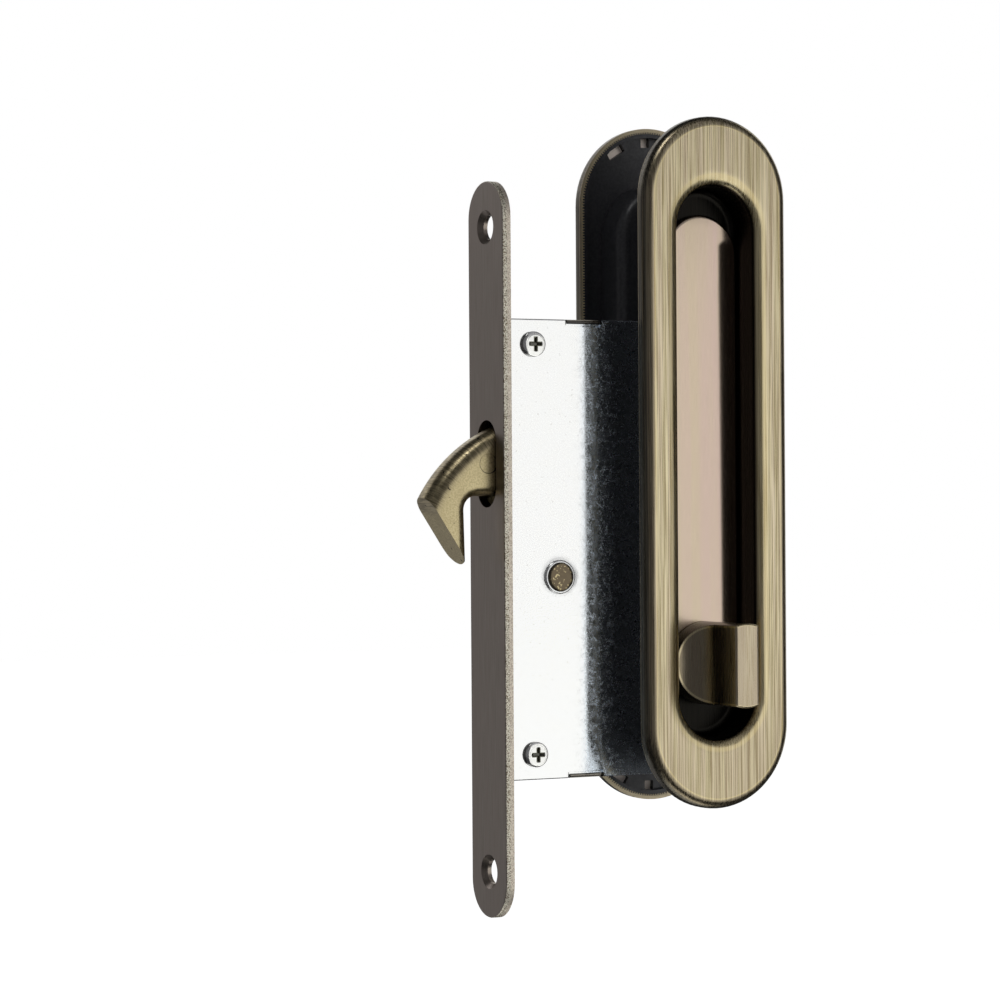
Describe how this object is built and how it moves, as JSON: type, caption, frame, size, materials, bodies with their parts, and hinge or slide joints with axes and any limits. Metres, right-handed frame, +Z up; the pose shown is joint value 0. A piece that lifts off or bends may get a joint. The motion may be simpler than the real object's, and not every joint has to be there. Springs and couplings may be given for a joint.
{
  "type": "pocket door hook lock with oval flush pulls",
  "caption": "Sliding door hook lock in a flat mortise case, clamped between oval flush pulls, with a thumb turn in one cup and a coin release in the other.",
  "frame": {"origin": "centre of the faceplate's front face, halfway between its two screw holes", "axes": "+X into the door from the faceplate, +Y from the thumb turn's pull to the release's pull, +Z up"},
  "size_m": [0.0835, 0.0441, 0.1749],
  "materials": {
    "pull_bronze": "antique bronze plating, brushed lengthwise and clear lacquered",
    "plate_bronze": "dark antique bronze plating, brushed lengthwise",
    "hook_bronze": "cast, antique bronze plated, rubbed back on the rounded edges",
    "insert_bronze": "bright pinkish bronze, smooth",
    "zinc_sheet": "bright zinc plated sheet, nearly mirror smooth with fine scratches",
    "steel_parts": "zinc plated steel screws, posts and spindle",
    "black_plastic": "black moulded nylon, satin",
    "follower_zinc": "die cast zinc, as cast",
    "spring_steel": "bare spring steel"
  },
  "bodies": {
    "lock": {"faceplate": "plate_bronze", "case_tray": "zinc_sheet", "case_cover": "zinc_sheet", "cover_post_top": "steel_parts", "cover_post_bottom": "steel_parts", "end_post_top": "steel_parts", "end_post_bottom": "steel_parts", "cover_screw_top": "steel_parts", "cover_screw_bottom": "steel_parts", "friction_washer": "spring_steel", "front_pull_cover": "pull_bronze", "rear_pull_cover": "pull_bronze", "front_pull_base": "black_plastic", "rear_pull_base": "black_plastic", "front_insert_plate": "insert_bronze", "rear_insert_plate": "insert_bronze", "clamp_screw_upper": "steel_parts", "clamp_screw_lower": "steel_parts", "sleeve_nut_upper": "steel_parts", "sleeve_nut_lower": "steel_parts"},
    "turn": {"thumb_turn": "pull_bronze", "turn_spindle": "steel_parts", "follower": "follower_zinc", "rear_release": "pull_bronze", "front_retaining_ring": "spring_steel", "rear_retaining_ring": "spring_steel"},
    "hook": {"hook_bolt": "hook_bronze"}
  },
  "joints": [
    {"name": "thumb_turn_swivel", "type": "hinge", "parent": "lock", "child": "turn", "pos_m": [0.0491, 0, -0.0256], "axis": [0, -1, 0], "range_deg": [0, 90]},
    {"name": "hook_swing", "type": "hinge", "parent": "lock", "child": "hook", "pos_m": [0.0145, 0, -0.0061], "axis": [0, 1, 0], "range_deg": [0, 40]}
  ],
  "couplings": [
    {"joint": "hook_swing", "follows": "thumb_turn_swivel", "ratio": 0.44444}
  ]
}
